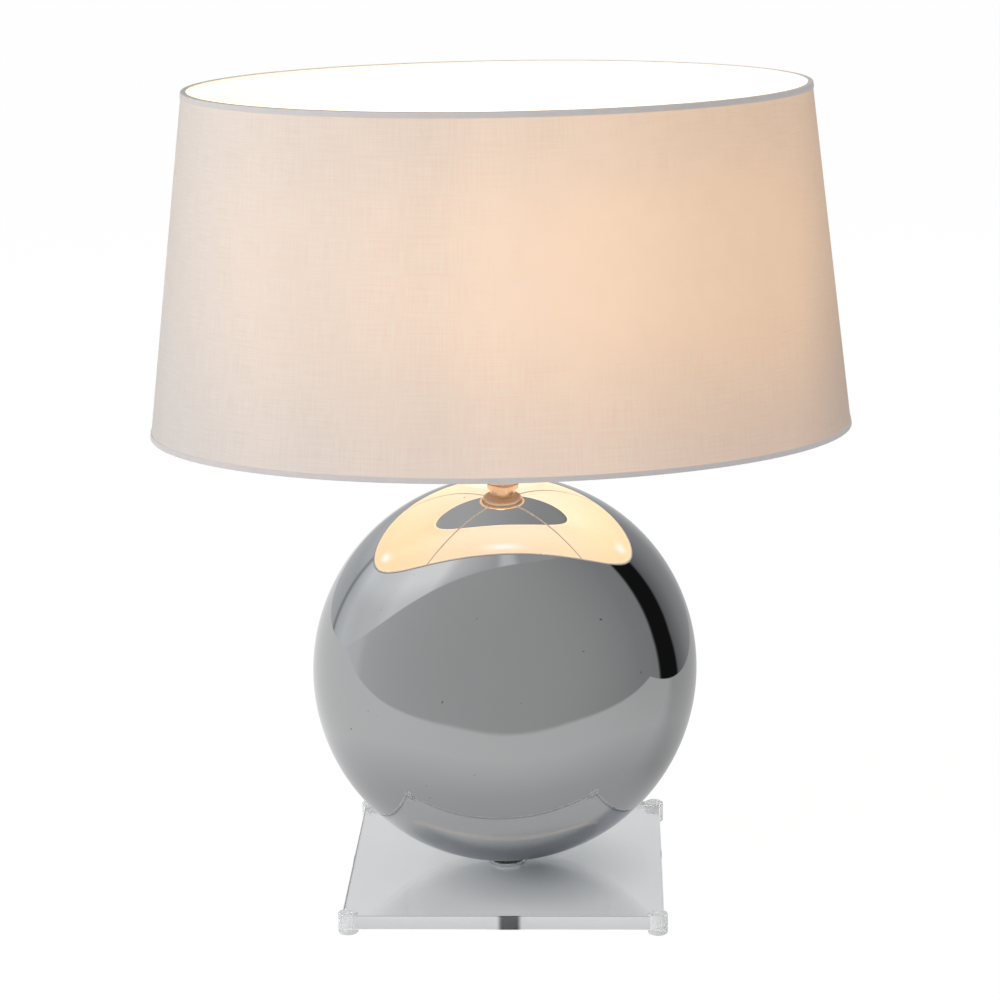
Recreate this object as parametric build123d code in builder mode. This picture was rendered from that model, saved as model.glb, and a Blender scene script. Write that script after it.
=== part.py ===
"""Table lamp: a flattened mirrored glass body on a clear square plate, under an oval fabric shade.

Millimetres. +Z is up, +X runs along the wide side of the shade and the glass, and the lamp is
looked at along +Y. The origin lies on the table, under the middle of the plate.
"""
from build123d import *
from math import cos, hypot, pi, radians, sin, sqrt
import os

# ---------------------------------------------------------------- driving dimensions
# clear square plate
plate_side = 204.0
plate_thickness = 9.5
plate_lift = 3.0            # underside of the plate above the table
plate_corner = 1.5          # rounding of the four upright edges
plate_polish = 0.5          # bevel along the top and bottom edges
plate_turn = -4.8           # how far the plate stands turned under the lamp, in degrees
counterbore_diameter = 25.0
counterbore_depth = 5.8

# soft feet slipped over the corners
foot_diameter = 12.6
foot_inset = 4.0            # from each edge of the plate to the foot's axis
foot_lip = 1.0              # thickness that lies on the plate
foot_rounding = 0.9

# mirrored glass body: round from the front, flattened from front to back
glass_width = 250.0
glass_height = 258.8        # before its top and bottom are ground flat
glass_depth = 135.8
face_power = 4.0            # the higher, the flatter the front and back
rim_power = 1.8             # 2 is an elliptic rim, lower is more pointed
glass_wall = 4.0
glass_pole_wall = 8.0       # thicker glass round the two holes
glass_hole = 16.0
ground_bottom = 0.85        # height ground off at the bottom
ground_top = 2.9            # height ground off at the top

# bushes that seal the glass and centre it on the rod
bottom_bush_diameter = 17.6
bottom_bush_flange = 1.5
top_bush_diameter = 19.4
top_bush_flange = 0.6
bush_spigot = 4.0           # length that reaches into the hole in the glass

# hollow threaded rod and what is clamped on it
rod_diameter = 10.0
rod_bore = 7.0
rod_grip = 6.5              # length of the rod inside the lampholder's boss
window_width = 5.0
window_height = 16.0
nut_across_flats = 14.0
nut_height = 3.0
washer_diameter = 22.0
washer_thickness = 1.2
lock_washer_diameter = 18.0
lock_washer_thickness = 0.8
lock_washer_teeth = 12
rod_bush_flange = 0.7
rod_bush_length = 6.0
rod_bush_bore = 5.4

# grommet for the cord, low in the back of the glass
grommet_height = 50.0       # its axis above the table, at the glass
grommet_diameter = 14.0
grommet_hole = 10.0
grommet_bore = 6.2
grommet_flange = 2.0
grommet_rise = 0.6          # room for the curve of the glass behind the inner flange

# neck
neck_diameter = 20.8
neck_wall = 1.2
neck_length = 38.0
neck_cap_thickness = 2.0
neck_cap_spigot = 2.5

# lampholder
holder_diameter = 39.0
holder_base_height = 19.0
holder_base_rounding = 6.0
holder_wall = 2.0
holder_floor = 3.0
holder_recess = 18.4        # round recess under the base that swallows the nut
holder_boss = 15.0
holder_shell_height = 34.0
holder_shell_lip = 2.0
insert_height = 12.0
insert_seat = 6.0           # how deep the insert sits in the base
wiring_space = 28.0         # diameter of the room under the insert
lock_screw_diameter = 3.0
terminal_screw_diameter = 3.4
terminal_head_diameter = 5.2
terminal_head_height = 1.6
terminal_length = 6.0
terminal_spacing = 19.0
socket_bore = 26.9          # inside of the screw sleeve
sleeve_wall = 0.5
sleeve_height = 22.0
sleeve_flange = 30.0
contact_width = 5.0
contact_height = 2.8
contact_thickness = 0.5
contact_length = 11.0

# shade rings and carrier
shade_ring_diameter = 45.0
shade_ring_flange = 47.6
shade_ring_flange_thickness = 2.0
shade_ring_height = 7.0
shade_ring_start = 0.8      # lower ring above the joint between base and shell
shade_ring_grips = 24
shade_ring_grip_diameter = 1.6
carrier_ring_diameter = 53.0
carrier_ring_bore = 41.2
carrier_ring_thickness = 1.6
carrier_wire = 3.0
carrier_arm_angles = {"front_left": 225, "front_right": 315, "back_right": 45, "back_left": 135}

# oval shade, measured over its trims
shade_bottom_width = 447.0
shade_bottom_depth = 283.2
shade_top_width = 391.2
shade_top_depth = 243.8
shade_height = 218.4
shade_rise = 31.6           # underside of the carrier ring above the shade's bottom edge
trim_thickness = 0.5
trim_height = 3.4
fabric_thickness = 0.6
liner_thickness = 0.5
hoop_wire = 3.2
seam_width = 9.0
seam_thickness = 0.4

# bulb
bulb_cap_diameter = 26.2
bulb_cap_height = 20.0
bulb_cap_wall = 0.6
bulb_button_diameter = 9.0
bulb_button_height = 1.2
bulb_insulator_height = 3.2
bulb_insulator_top = 22.0
bulb_collar_height = 12.0
bulb_diameter = 34.0
bulb_length = 74.0
bulb_wall = 1.0
led_column_diameter = 12.0
led_column_length = 54.0

# named clearances
seat_gap = 0.05             # between pieces that are fitted together
slip_gap = 0.1              # rod in the holes of washers, bushes and plate
turn_gap = 0.4              # radial, between the holder and what turns round it
face_gap = 0.2              # axial, between faces that turn or lift apart

# ---------------------------------------------------------------- heights that follow
plate_bottom = plate_lift
plate_top = plate_bottom + plate_thickness
counterbore_roof = plate_bottom + counterbore_depth
washer_bottom = counterbore_roof - washer_thickness
lock_washer_bottom = washer_bottom - lock_washer_thickness
bottom_nut_bottom = lock_washer_bottom - nut_height
rod_bottom = bottom_nut_bottom

glass_bottom = plate_top + bottom_bush_flange
glass_centre = glass_bottom + glass_height / 2 - ground_bottom
glass_top = glass_centre + glass_height / 2 - ground_top

neck_bottom = glass_top + top_bush_flange
neck_top = neck_bottom + neck_length
neck_cap_top = neck_top + neck_cap_thickness
top_nut_top = neck_cap_top + nut_height

holder_bottom = neck_cap_top + face_gap
holder_floor_top = top_nut_top + holder_floor
holder_joint = holder_bottom + holder_base_height
rod_top = top_nut_top + rod_grip
insert_bottom = holder_joint - insert_seat
insert_top = insert_bottom + insert_height
shell_top = holder_joint + holder_shell_height

lower_ring_bottom = holder_joint + shade_ring_start
lower_ring_top = lower_ring_bottom + shade_ring_height
carrier_bottom = lower_ring_top + face_gap
carrier_top = carrier_bottom + carrier_ring_thickness
upper_ring_bottom = carrier_top + face_gap
upper_ring_top = upper_ring_bottom + shade_ring_height

shade_bottom = carrier_bottom - shade_rise
shade_top = shade_bottom + shade_height

bulb_bottom = insert_top + contact_height + face_gap
bulb_button_top = bulb_bottom + bulb_button_height
bulb_cap_bottom = bulb_button_top + bulb_insulator_height
bulb_cap_top = bulb_cap_bottom + bulb_cap_height
bulb_collar_top = bulb_cap_top + bulb_collar_height

# ---------------------------------------------------------------- radii that follow
rod_hole = rod_diameter / 2 + slip_gap
holder_radius = holder_diameter / 2
pocket_radius = holder_radius - holder_wall
insert_radius = pocket_radius - slip_gap
sleeve_radius = socket_bore / 2 + sleeve_wall
ring_bore = holder_radius + turn_gap

os.makedirs("parts", exist_ok=True)


def finish(builder, name):
    """Name a finished piece and write it."""
    builder.part.label = name
    export_step(builder.part, f"parts/{name}.step")


def disc(low, high, radius, mode=Mode.ADD):
    """A round solid on the lamp's axis, from one height to another."""
    with BuildSketch(Plane.XY.offset(low)) as outline:
        Circle(radius)
    extrude(outline.sketch, amount=high - low, mode=mode)


def hexagon(low, high, across_flats):
    """A hexagonal solid on the lamp's axis."""
    with BuildSketch(Plane.XY.offset(low)) as outline:
        RegularPolygon(across_flats / 2, 6, major_radius=False)
    extrude(outline.sketch, amount=high - low)


# ================================================================ foot
plate_plane = Plane.XY.rotated((0, 0, plate_turn))

with BuildPart() as foot_plate:
    with BuildSketch(plate_plane.offset(plate_bottom)):
        RectangleRounded(plate_side, plate_side, plate_corner)
    extrude(amount=plate_thickness)
    rims = foot_plate.faces().filter_by(Axis.Z).edges()
    chamfer(rims, plate_polish)
    disc(plate_bottom, plate_top, rod_hole, Mode.SUBTRACT)
    disc(plate_bottom, counterbore_roof, counterbore_diameter / 2, Mode.SUBTRACT)
finish(foot_plate, "foot_plate")

foot_reach = plate_side / 2 - foot_inset
for foot_name, across, along in (
    ("foot_front_left", -1, -1),
    ("foot_front_right", 1, -1),
    ("foot_back_left", -1, 1),
    ("foot_back_right", 1, 1),
):
    with BuildPart() as foot:
        with BuildSketch(plate_plane):
            with Locations((across * foot_reach, along * foot_reach)):
                Circle(foot_diameter / 2)
        extrude(amount=plate_top + foot_lip)
        fillet(foot.edges().filter_by(GeomType.CIRCLE), foot_rounding)
        with BuildSketch(plate_plane.offset(plate_bottom - seat_gap)):
            Rectangle(plate_side + 2 * seat_gap, plate_side + 2 * seat_gap)
        extrude(amount=plate_thickness + 2 * seat_gap, mode=Mode.SUBTRACT)
    finish(foot, foot_name)

with BuildPart() as bottom_washer:
    disc(washer_bottom, counterbore_roof, washer_diameter / 2)
    disc(washer_bottom, counterbore_roof, rod_hole, Mode.SUBTRACT)
finish(bottom_washer, "bottom_washer")

with BuildPart() as lock_washer:
    disc(lock_washer_bottom, washer_bottom, lock_washer_diameter / 2)
    disc(lock_washer_bottom, washer_bottom, rod_hole, Mode.SUBTRACT)
    tooth_gap = pi * lock_washer_diameter / lock_washer_teeth / 2
    tooth_height = (lock_washer_diameter - rod_diameter) / 4
    with BuildSketch(Plane.XY.offset(lock_washer_bottom)):
        with PolarLocations(lock_washer_diameter / 2, lock_washer_teeth):
            Rectangle(2 * tooth_height, tooth_gap)
    extrude(amount=lock_washer_thickness, mode=Mode.SUBTRACT)
finish(lock_washer, "lock_washer")

with BuildPart() as bottom_nut:
    hexagon(bottom_nut_bottom, lock_washer_bottom, nut_across_flats)
    disc(bottom_nut_bottom, lock_washer_bottom, rod_hole, Mode.SUBTRACT)
    chamfer(bottom_nut.edges().filter_by(GeomType.CIRCLE), slip_gap * 3)
finish(bottom_nut, "bottom_nut")


# ================================================================ glass body
def glass_form(width, height, depth):
    """The flattened round form about the origin: a profile turned round Y, then stretched upwards.

    With r the distance from the middle seen from the front, as a share of its half width, and d
    the distance from the middle plane as a share of its half depth, the surface is
    r ** face_power + d ** rim_power = 1.
    """
    steps = 12
    angles = [step / steps * pi / 2 for step in range(steps)]
    rim = [
        (width / 2 * cos(angle) ** (2 / face_power), depth / 2 * sin(angle) ** (2 / rim_power))
        for angle in angles
    ]
    pole = (0, depth / 2)
    with BuildPart() as form:
        with BuildSketch():
            with BuildLine():
                Spline(*rim, pole, tangents=((0, 1), (-1, 0)))
                Polyline(pole, (0, 0), rim[0])
            make_face()
        revolve(axis=Axis.Y)
        mirror(about=Plane.XZ)
        scale(by=(1, 1, height / width))
    return form.part


def back_depth(height, form_height, form_depth):
    """How far back a form's surface lies in the middle plane, at a height above the table."""
    up = abs(height - glass_centre) / (form_height / 2)
    return form_depth / 2 * (1 - up ** face_power) ** (1 / rim_power)


inner_width = glass_width - 2 * glass_wall
inner_height = glass_height - 2 * glass_pole_wall
inner_depth = glass_depth - 2 * glass_wall

grommet_depth = back_depth(grommet_height, glass_height, glass_depth)
depth_above = back_depth(grommet_height + seat_gap, glass_height, glass_depth)
grommet_tilt = (grommet_depth - depth_above) / seat_gap
tilt_length = hypot(1, grommet_tilt)
wall_behind = grommet_depth - back_depth(grommet_height, inner_height, inner_depth)
grommet_wall = wall_behind / tilt_length + grommet_rise
grommet_plane = Plane(
    origin=(0, grommet_depth, grommet_height),
    x_dir=(1, 0, 0),
    z_dir=(0, 1 / tilt_length, grommet_tilt / tilt_length),
)

with BuildPart() as glass_body:
    with Locations((0, 0, glass_centre)):
        add(glass_form(glass_width, glass_height, glass_depth))
    disc(glass_top, glass_top + glass_height, glass_width, Mode.SUBTRACT)
    disc(glass_bottom - glass_height, glass_bottom, glass_width, Mode.SUBTRACT)
    disc(glass_bottom, glass_top, glass_hole / 2, Mode.SUBTRACT)
    with BuildSketch(grommet_plane):
        Circle(grommet_hole / 2)
    extrude(amount=2 * grommet_wall, both=True, mode=Mode.SUBTRACT)
    with Locations((0, 0, glass_centre)):
        add(glass_form(inner_width, inner_height, inner_depth), mode=Mode.SUBTRACT)
finish(glass_body, "glass_body")

with BuildPart() as cord_grommet:
    for face, outward in ((grommet_plane.offset(seat_gap), 1), (grommet_plane.offset(-grommet_wall), -1)):
        with BuildSketch(face):
            Circle(grommet_diameter / 2)
        extrude(amount=outward * grommet_flange)
    fillet(cord_grommet.edges().filter_by(GeomType.CIRCLE), grommet_flange / 4)
    with BuildSketch(grommet_plane.offset(seat_gap)):
        Circle(grommet_hole / 2 - seat_gap)
    extrude(amount=-grommet_wall - seat_gap)
    with BuildSketch(grommet_plane):
        Circle(grommet_bore / 2)
    extrude(amount=2 * (grommet_wall + grommet_flange), both=True, mode=Mode.SUBTRACT)
finish(cord_grommet, "cord_grommet")

with BuildPart() as bottom_bush:
    disc(plate_top, glass_bottom, bottom_bush_diameter / 2)
    disc(glass_bottom, glass_bottom + bush_spigot, glass_hole / 2 - seat_gap)
    disc(plate_top, glass_bottom + bush_spigot, rod_hole, Mode.SUBTRACT)
finish(bottom_bush, "bottom_bush")

with BuildPart() as top_bush:
    disc(glass_top, neck_bottom, top_bush_diameter / 2)
    disc(glass_top - bush_spigot, glass_top, glass_hole / 2 - seat_gap)
    disc(glass_top - bush_spigot, neck_bottom, rod_hole, Mode.SUBTRACT)
finish(top_bush, "top_bush")

# ================================================================ rod and neck
with BuildPart() as threaded_rod:
    disc(rod_bottom, rod_top, rod_diameter / 2)
    disc(rod_bottom, rod_top, rod_bore / 2, Mode.SUBTRACT)
    with BuildSketch(Plane.XZ.offset(-rod_diameter)):
        with Locations((0, grommet_height + window_height / 2)):
            SlotOverall(window_height, window_width, rotation=90)
    extrude(amount=rod_diameter, mode=Mode.SUBTRACT)
finish(threaded_rod, "threaded_rod")

for rod_end_name, mouth, inward in (
    ("rod_bush_bottom", rod_bottom, 1),
    ("rod_bush_top", rod_top, -1),
):
    with BuildPart() as rod_bush:
        with BuildSketch(Plane.XY.offset(mouth)):
            Circle(rod_diameter / 2)
        extrude(amount=-inward * rod_bush_flange)
        with BuildSketch(Plane.XY.offset(mouth)):
            Circle(rod_bore / 2 - seat_gap)
        extrude(amount=inward * rod_bush_length)
        with BuildSketch(Plane.XY.offset(mouth)):
            Circle(rod_bush_bore / 2)
        extrude(amount=rod_bush_length + rod_bush_flange, both=True, mode=Mode.SUBTRACT)
    finish(rod_bush, rod_end_name)

with BuildPart() as neck_tube:
    disc(neck_bottom, neck_top, neck_diameter / 2)
    disc(neck_bottom, neck_top, neck_diameter / 2 - neck_wall, Mode.SUBTRACT)
finish(neck_tube, "neck_tube")

with BuildPart() as neck_cap:
    disc(neck_top, neck_cap_top, neck_diameter / 2)
    fillet(neck_cap.faces().sort_by(Axis.Z)[-1].edges(), neck_cap_thickness / 3)
    disc(neck_top - neck_cap_spigot, neck_top, neck_diameter / 2 - neck_wall - seat_gap)
    disc(neck_top - neck_cap_spigot, neck_cap_top, rod_hole, Mode.SUBTRACT)
finish(neck_cap, "neck_cap")

with BuildPart() as top_nut:
    hexagon(neck_cap_top, top_nut_top, nut_across_flats)
    disc(neck_cap_top, top_nut_top, rod_hole, Mode.SUBTRACT)
finish(top_nut, "top_nut")

# ================================================================ lampholder
with BuildPart() as holder_base:
    disc(holder_bottom, holder_joint, holder_radius)
    fillet(holder_base.faces().sort_by(Axis.Z)[0].edges(), holder_base_rounding)
    disc(insert_bottom, holder_joint, pocket_radius, Mode.SUBTRACT)
    disc(holder_floor_top, insert_bottom, wiring_space / 2, Mode.SUBTRACT)
    disc(holder_bottom, top_nut_top, holder_recess / 2, Mode.SUBTRACT)
    disc(holder_floor_top, rod_top, holder_boss / 2)
    disc(holder_bottom, rod_top, rod_hole, Mode.SUBTRACT)
    lock_height = (top_nut_top + rod_top) / 2
    with BuildSketch(Plane.XZ.offset(-holder_radius)):
        with Locations((0, lock_height)):
            Circle(lock_screw_diameter / 2 + seat_gap)
    extrude(amount=holder_radius, mode=Mode.SUBTRACT)
finish(holder_base, "holder_base")

with BuildPart() as lock_screw:
    lock_screw_length = holder_radius - rod_hole - slip_gap
    with BuildSketch(Plane.XZ.offset(-rod_hole)):
        with Locations((0, lock_height)):
            Circle(lock_screw_diameter / 2)
    extrude(amount=-lock_screw_length)
    with BuildSketch(Plane.XZ.offset(-rod_hole - lock_screw_length)):
        with Locations((0, lock_height)):
            Rectangle(lock_screw_diameter, lock_screw_diameter / 5)
    extrude(amount=lock_screw_diameter / 4, mode=Mode.SUBTRACT)
finish(lock_screw, "lock_screw")

with BuildPart() as holder_insert:
    disc(insert_bottom, insert_top, insert_radius)
    chamfer(holder_insert.faces().sort_by(Axis.Z)[-1].edges(), slip_gap * 5)
    with BuildSketch(Plane.XY.offset(insert_bottom)):
        with GridLocations(terminal_spacing, 0, 2, 1):
            Circle(terminal_screw_diameter / 2 + seat_gap)
    extrude(amount=terminal_length, mode=Mode.SUBTRACT)
finish(holder_insert, "holder_insert")

with BuildPart() as terminal_screws:
    with BuildSketch(Plane.XY.offset(insert_bottom)):
        with GridLocations(terminal_spacing, 0, 2, 1):
            Circle(terminal_screw_diameter / 2)
    extrude(amount=terminal_length)
    with BuildSketch(Plane.XY.offset(insert_bottom)):
        with GridLocations(terminal_spacing, 0, 2, 1):
            Circle(terminal_head_diameter / 2)
    extrude(amount=-terminal_head_height)
    with BuildSketch(Plane.XY.offset(insert_bottom - terminal_head_height)):
        with GridLocations(terminal_spacing, 0, 2, 1):
            Rectangle(terminal_head_diameter, terminal_head_height / 2)
    extrude(amount=terminal_head_height / 2, mode=Mode.SUBTRACT)
finish(terminal_screws, "terminal_screws")

with BuildPart() as centre_contact:
    with BuildSketch(Plane.XZ):
        with BuildLine():
            Polyline(
                (-contact_length / 2, insert_top),
                (contact_length / 2, insert_top),
                (contact_length / 2, insert_top + contact_thickness),
                (contact_thickness * 2 - contact_length / 2, insert_top + contact_thickness),
                (contact_thickness, insert_top + contact_height - contact_thickness),
                (contact_length / 2 - contact_thickness, insert_top + contact_height / 2),
                (contact_length / 2, insert_top + contact_height / 2 + contact_thickness),
                (contact_thickness, insert_top + contact_height),
                (-contact_thickness, insert_top + contact_height),
                (-contact_length / 2, insert_top + contact_thickness),
                close=True,
            )
        make_face()
    extrude(amount=contact_width / 2, both=True)
finish(centre_contact, "centre_contact")

with BuildPart() as screw_sleeve:
    disc(insert_top, insert_top + sleeve_height, sleeve_radius)
    disc(insert_top, insert_top + sleeve_wall, sleeve_flange / 2)
    disc(insert_top, insert_top + sleeve_height, socket_bore / 2, Mode.SUBTRACT)
finish(screw_sleeve, "screw_sleeve")

with BuildPart() as holder_shell:
    disc(holder_joint, shell_top, holder_radius)
    disc(holder_joint, insert_top + slip_gap, pocket_radius, Mode.SUBTRACT)
    disc(insert_top, shell_top - holder_shell_lip, sleeve_flange / 2 + slip_gap, Mode.SUBTRACT)
    disc(insert_top, shell_top, sleeve_radius + slip_gap, Mode.SUBTRACT)
    fillet(holder_shell.faces().sort_by(Axis.Z)[-1].edges(), holder_shell_lip / 4)
finish(holder_shell, "holder_shell")


# ================================================================ shade rings
def shade_ring(low, flange_low):
    """A knurled ring round the holder, with the flange that presses on the carrier."""
    disc(low, low + shade_ring_height, shade_ring_diameter / 2)
    with BuildSketch(Plane.XY.offset(low)) as grips:
        with PolarLocations(shade_ring_diameter / 2, shade_ring_grips):
            Circle(shade_ring_grip_diameter / 2)
    extrude(grips.sketch, amount=shade_ring_height, mode=Mode.SUBTRACT)
    disc(flange_low, flange_low + shade_ring_flange_thickness, shade_ring_flange / 2)
    disc(low, low + shade_ring_height, ring_bore, Mode.SUBTRACT)


with BuildPart() as lower_shade_ring:
    shade_ring(lower_ring_bottom, lower_ring_top - shade_ring_flange_thickness)
finish(lower_shade_ring, "lower_shade_ring")

with BuildPart() as upper_shade_ring:
    shade_ring(upper_ring_bottom, upper_ring_bottom)
finish(upper_shade_ring, "upper_shade_ring")


# ================================================================ shade
def shade_half(height, inset):
    """Half width and half depth of the shade at a height, this far inside its outer face."""
    share = (height - shade_bottom) / shade_height
    half_width = shade_bottom_width + (shade_top_width - shade_bottom_width) * share
    half_depth = shade_bottom_depth + (shade_top_depth - shade_bottom_depth) * share
    return half_width / 2 - inset, half_depth / 2 - inset


def cone(low, high, inset, mode=Mode.ADD):
    """The solid inside the shade's sloping oval wall, between two heights."""
    outlines = []
    for height in (low, high):
        with BuildSketch(Plane.XY.offset(height)) as outline:
            Ellipse(*shade_half(height, inset))
        outlines.append(outline.sketch)
    loft(outlines, ruled=True, mode=mode)


def wall(low, high, inset, thickness):
    """One layer of the shade's wall."""
    cone(low, high, inset)
    cone(low, high, inset + thickness, Mode.SUBTRACT)


fabric_inset = trim_thickness
liner_inset = fabric_inset + fabric_thickness
hoop_inset = liner_inset + liner_thickness + slip_gap + hoop_wire / 2
cloth_bottom = shade_bottom + trim_thickness
cloth_top = shade_top - trim_thickness
lip_width = hoop_inset

with BuildPart() as shade_fabric:
    wall(cloth_bottom, cloth_top, fabric_inset, fabric_thickness)
finish(shade_fabric, "shade_fabric")

with BuildPart() as shade_liner:
    wall(cloth_bottom, cloth_top, liner_inset, liner_thickness)
finish(shade_liner, "shade_liner")

with BuildPart() as shade_seam:
    seam_bottom = shade_bottom + trim_height
    seam_top = shade_top - trim_height
    wall(seam_bottom, seam_top, fabric_inset - seam_thickness, seam_thickness)
    with BuildSketch(Plane.XY.offset(seam_bottom)):
        with Locations((0, shade_bottom_depth / 2)):
            Rectangle(seam_width, shade_bottom_depth)
    extrude(amount=seam_top - seam_bottom, mode=Mode.INTERSECT)
finish(shade_seam, "shade_seam")

with BuildPart() as bottom_trim:
    wall(shade_bottom, shade_bottom + trim_height, 0, trim_thickness)
    wall(shade_bottom, cloth_bottom, 0, lip_width)
finish(bottom_trim, "bottom_trim")

with BuildPart() as top_trim:
    wall(shade_top - trim_height, shade_top, 0, trim_thickness)
    wall(cloth_top, shade_top, 0, lip_width)
finish(top_trim, "top_trim")


def hoop(height):
    """An oval wire hoop that follows the wall's inside at a height."""
    half_width, half_depth = shade_half(height, hoop_inset)
    with BuildLine(Plane.XY.offset(height)) as path:
        EllipticalCenterArc((0, 0), half_width, half_depth, arc_size=360)
    with BuildSketch(Plane.XZ) as section:
        with Locations((half_width, height)):
            Circle(hoop_wire / 2)
    sweep(section.sketch, path=path.line)


bottom_hoop_height = cloth_bottom + seat_gap + hoop_wire / 2
top_hoop_height = cloth_top - seat_gap - hoop_wire / 2

with BuildPart() as bottom_hoop:
    hoop(bottom_hoop_height)
finish(bottom_hoop, "bottom_hoop")

with BuildPart() as top_hoop:
    hoop(top_hoop_height)
finish(top_hoop, "top_hoop")

with BuildPart() as carrier_ring:
    disc(carrier_bottom, carrier_top, carrier_ring_diameter / 2)
    disc(carrier_bottom, carrier_top, carrier_ring_bore / 2, Mode.SUBTRACT)
finish(carrier_ring, "carrier_ring")

hoop_half_width, hoop_half_depth = shade_half(bottom_hoop_height, hoop_inset)
for side, angle in carrier_arm_angles.items():
    across = cos(radians(angle))
    along = sin(radians(angle))
    reach = 1 / sqrt((across / hoop_half_width) ** 2 + (along / hoop_half_depth) ** 2)
    root = carrier_ring_bore / 2
    start = Vector(across * root, along * root, (carrier_bottom + carrier_top) / 2)
    end = Vector(across * reach, along * reach, bottom_hoop_height)
    with BuildPart() as carrier_arm:
        with BuildSketch(Plane(origin=start, z_dir=end - start)):
            Circle(carrier_wire / 2)
        extrude(amount=(end - start).length)
        disc(carrier_bottom - carrier_wire, carrier_top + carrier_wire,
             carrier_ring_diameter / 2, Mode.SUBTRACT)
        add(bottom_hoop.part, mode=Mode.SUBTRACT)
    finish(carrier_arm, f"carrier_arm_{side}")

# ================================================================ bulb
with BuildPart() as bulb_button:
    disc(bulb_bottom, bulb_button_top, bulb_button_diameter / 2)
    fillet(bulb_button.faces().sort_by(Axis.Z)[0].edges(), bulb_button_height / 2)
finish(bulb_button, "bulb_button")

with BuildPart() as bulb_insulator:
    with BuildSketch(Plane.XY.offset(bulb_button_top)):
        Circle(bulb_button_diameter / 2)
    with BuildSketch(Plane.XY.offset(bulb_cap_bottom)):
        Circle(bulb_insulator_top / 2)
    loft()
finish(bulb_insulator, "bulb_insulator")

with BuildPart() as bulb_cap:
    disc(bulb_cap_bottom, bulb_cap_top, bulb_cap_diameter / 2)
    fillet(bulb_cap.faces().sort_by(Axis.Z)[0].edges(), (bulb_cap_diameter - bulb_insulator_top) / 4)
    disc(bulb_cap_bottom + bulb_cap_wall, bulb_cap_top,
         bulb_cap_diameter / 2 - bulb_cap_wall, Mode.SUBTRACT)
finish(bulb_cap, "bulb_cap")

with BuildPart() as bulb_collar:
    with BuildSketch(Plane.XY.offset(bulb_cap_top)):
        Circle(bulb_cap_diameter / 2)
    with BuildSketch(Plane.XY.offset(bulb_collar_top)):
        Circle(bulb_diameter / 2)
    loft()
finish(bulb_collar, "bulb_collar")

with BuildPart() as bulb_envelope:
    disc(bulb_collar_top, bulb_collar_top + bulb_length, bulb_diameter / 2)
    fillet(bulb_envelope.faces().sort_by(Axis.Z)[-1].edges(), bulb_diameter / 2 - bulb_wall * 2)
    disc(bulb_collar_top, bulb_collar_top + bulb_length - bulb_diameter / 2,
         bulb_diameter / 2 - bulb_wall, Mode.SUBTRACT)
finish(bulb_envelope, "bulb_envelope")

with BuildPart() as led_column:
    disc(bulb_collar_top, bulb_collar_top + led_column_length, led_column_diameter / 2)
finish(led_column, "led_column")
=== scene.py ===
"""Table lamp with a flattened mirrored glass body, a clear square foot and an oval shade.

Everything is in metres, over the packed CAD model, which is the fixed frame: +Z is up and the
lamp is looked at along +Y. Pieces that are not modelled here are CAD nodes with a finish.
"""
from math import atan2, cos, pi, radians, sin, sqrt

import bmesh
import bpy
from bpy.props import FloatProperty, FloatVectorProperty, IntProperty, PointerProperty
from bpy.types import Operator, Panel, PropertyGroup
from mathutils import Matrix, Vector


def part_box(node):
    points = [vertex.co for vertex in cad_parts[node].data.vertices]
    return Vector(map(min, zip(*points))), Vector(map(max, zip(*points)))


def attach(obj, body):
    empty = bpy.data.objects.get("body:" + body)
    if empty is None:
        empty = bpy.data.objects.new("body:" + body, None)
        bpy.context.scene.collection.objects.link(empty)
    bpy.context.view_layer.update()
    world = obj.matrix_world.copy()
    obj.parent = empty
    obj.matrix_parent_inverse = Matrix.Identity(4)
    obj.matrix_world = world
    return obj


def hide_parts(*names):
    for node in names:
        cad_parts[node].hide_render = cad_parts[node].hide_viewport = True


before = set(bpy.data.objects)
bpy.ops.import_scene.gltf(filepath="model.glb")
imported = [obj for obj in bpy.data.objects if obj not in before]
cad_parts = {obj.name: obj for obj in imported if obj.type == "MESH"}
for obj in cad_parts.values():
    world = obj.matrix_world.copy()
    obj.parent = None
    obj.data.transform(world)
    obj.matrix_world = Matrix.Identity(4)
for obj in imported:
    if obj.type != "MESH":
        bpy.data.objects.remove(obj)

bl_info = {
    "name": "Mirrored Glass Table Lamp",
    "version": (1, 0, 0),
    "blender": (4, 5, 0),
    "location": "3D View > Sidebar > Table Lamp",
    "description": "Models a table lamp with a mirrored glass body and an oval shade",
    "category": "Add Mesh",
}

# ---- places read from the frame
(
    (plate_low, plate_high), (washer_low, washer_high), (glass_low, glass_high),
    (grommet_low, grommet_high), (neck_low, neck_high), (neck_cap_low, neck_cap_high),
    (shade_low, shade_high), (shade_top_low, shade_top_high), (carrier_low, carrier_high),
    (bulb_cap_low, bulb_cap_high), (envelope_low, envelope_high),
) = map(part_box, (
    "foot_plate", "bottom_washer", "glass_body", "cord_grommet", "neck_tube", "neck_cap",
    "bottom_trim", "top_trim", "carrier_ring", "bulb_cap", "bulb_envelope",
))


# ---- small measures
WELD = 2e-6  # points nearer to each other than this are one point
SLIP = 5e-5  # play between pieces that fit into each other
PAST = 0.01  # how far a cutter reaches past what it cuts
WHITE = (1.0, 1.0, 1.0, 1.0)


# ---- sizes and colours
def length(name, description, default):
    """A size in metres."""
    return FloatProperty(
        name=name, description=description, default=default, min=0.0, unit="LENGTH", precision=5
    )


def amount(name, description, default):
    """A plain number."""
    return FloatProperty(name=name, description=description, default=default, min=0.0)


def count(name, description, default):
    """A number of sides, rings or turns."""
    return IntProperty(name=name, description=description, default=default, min=3)


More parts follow.
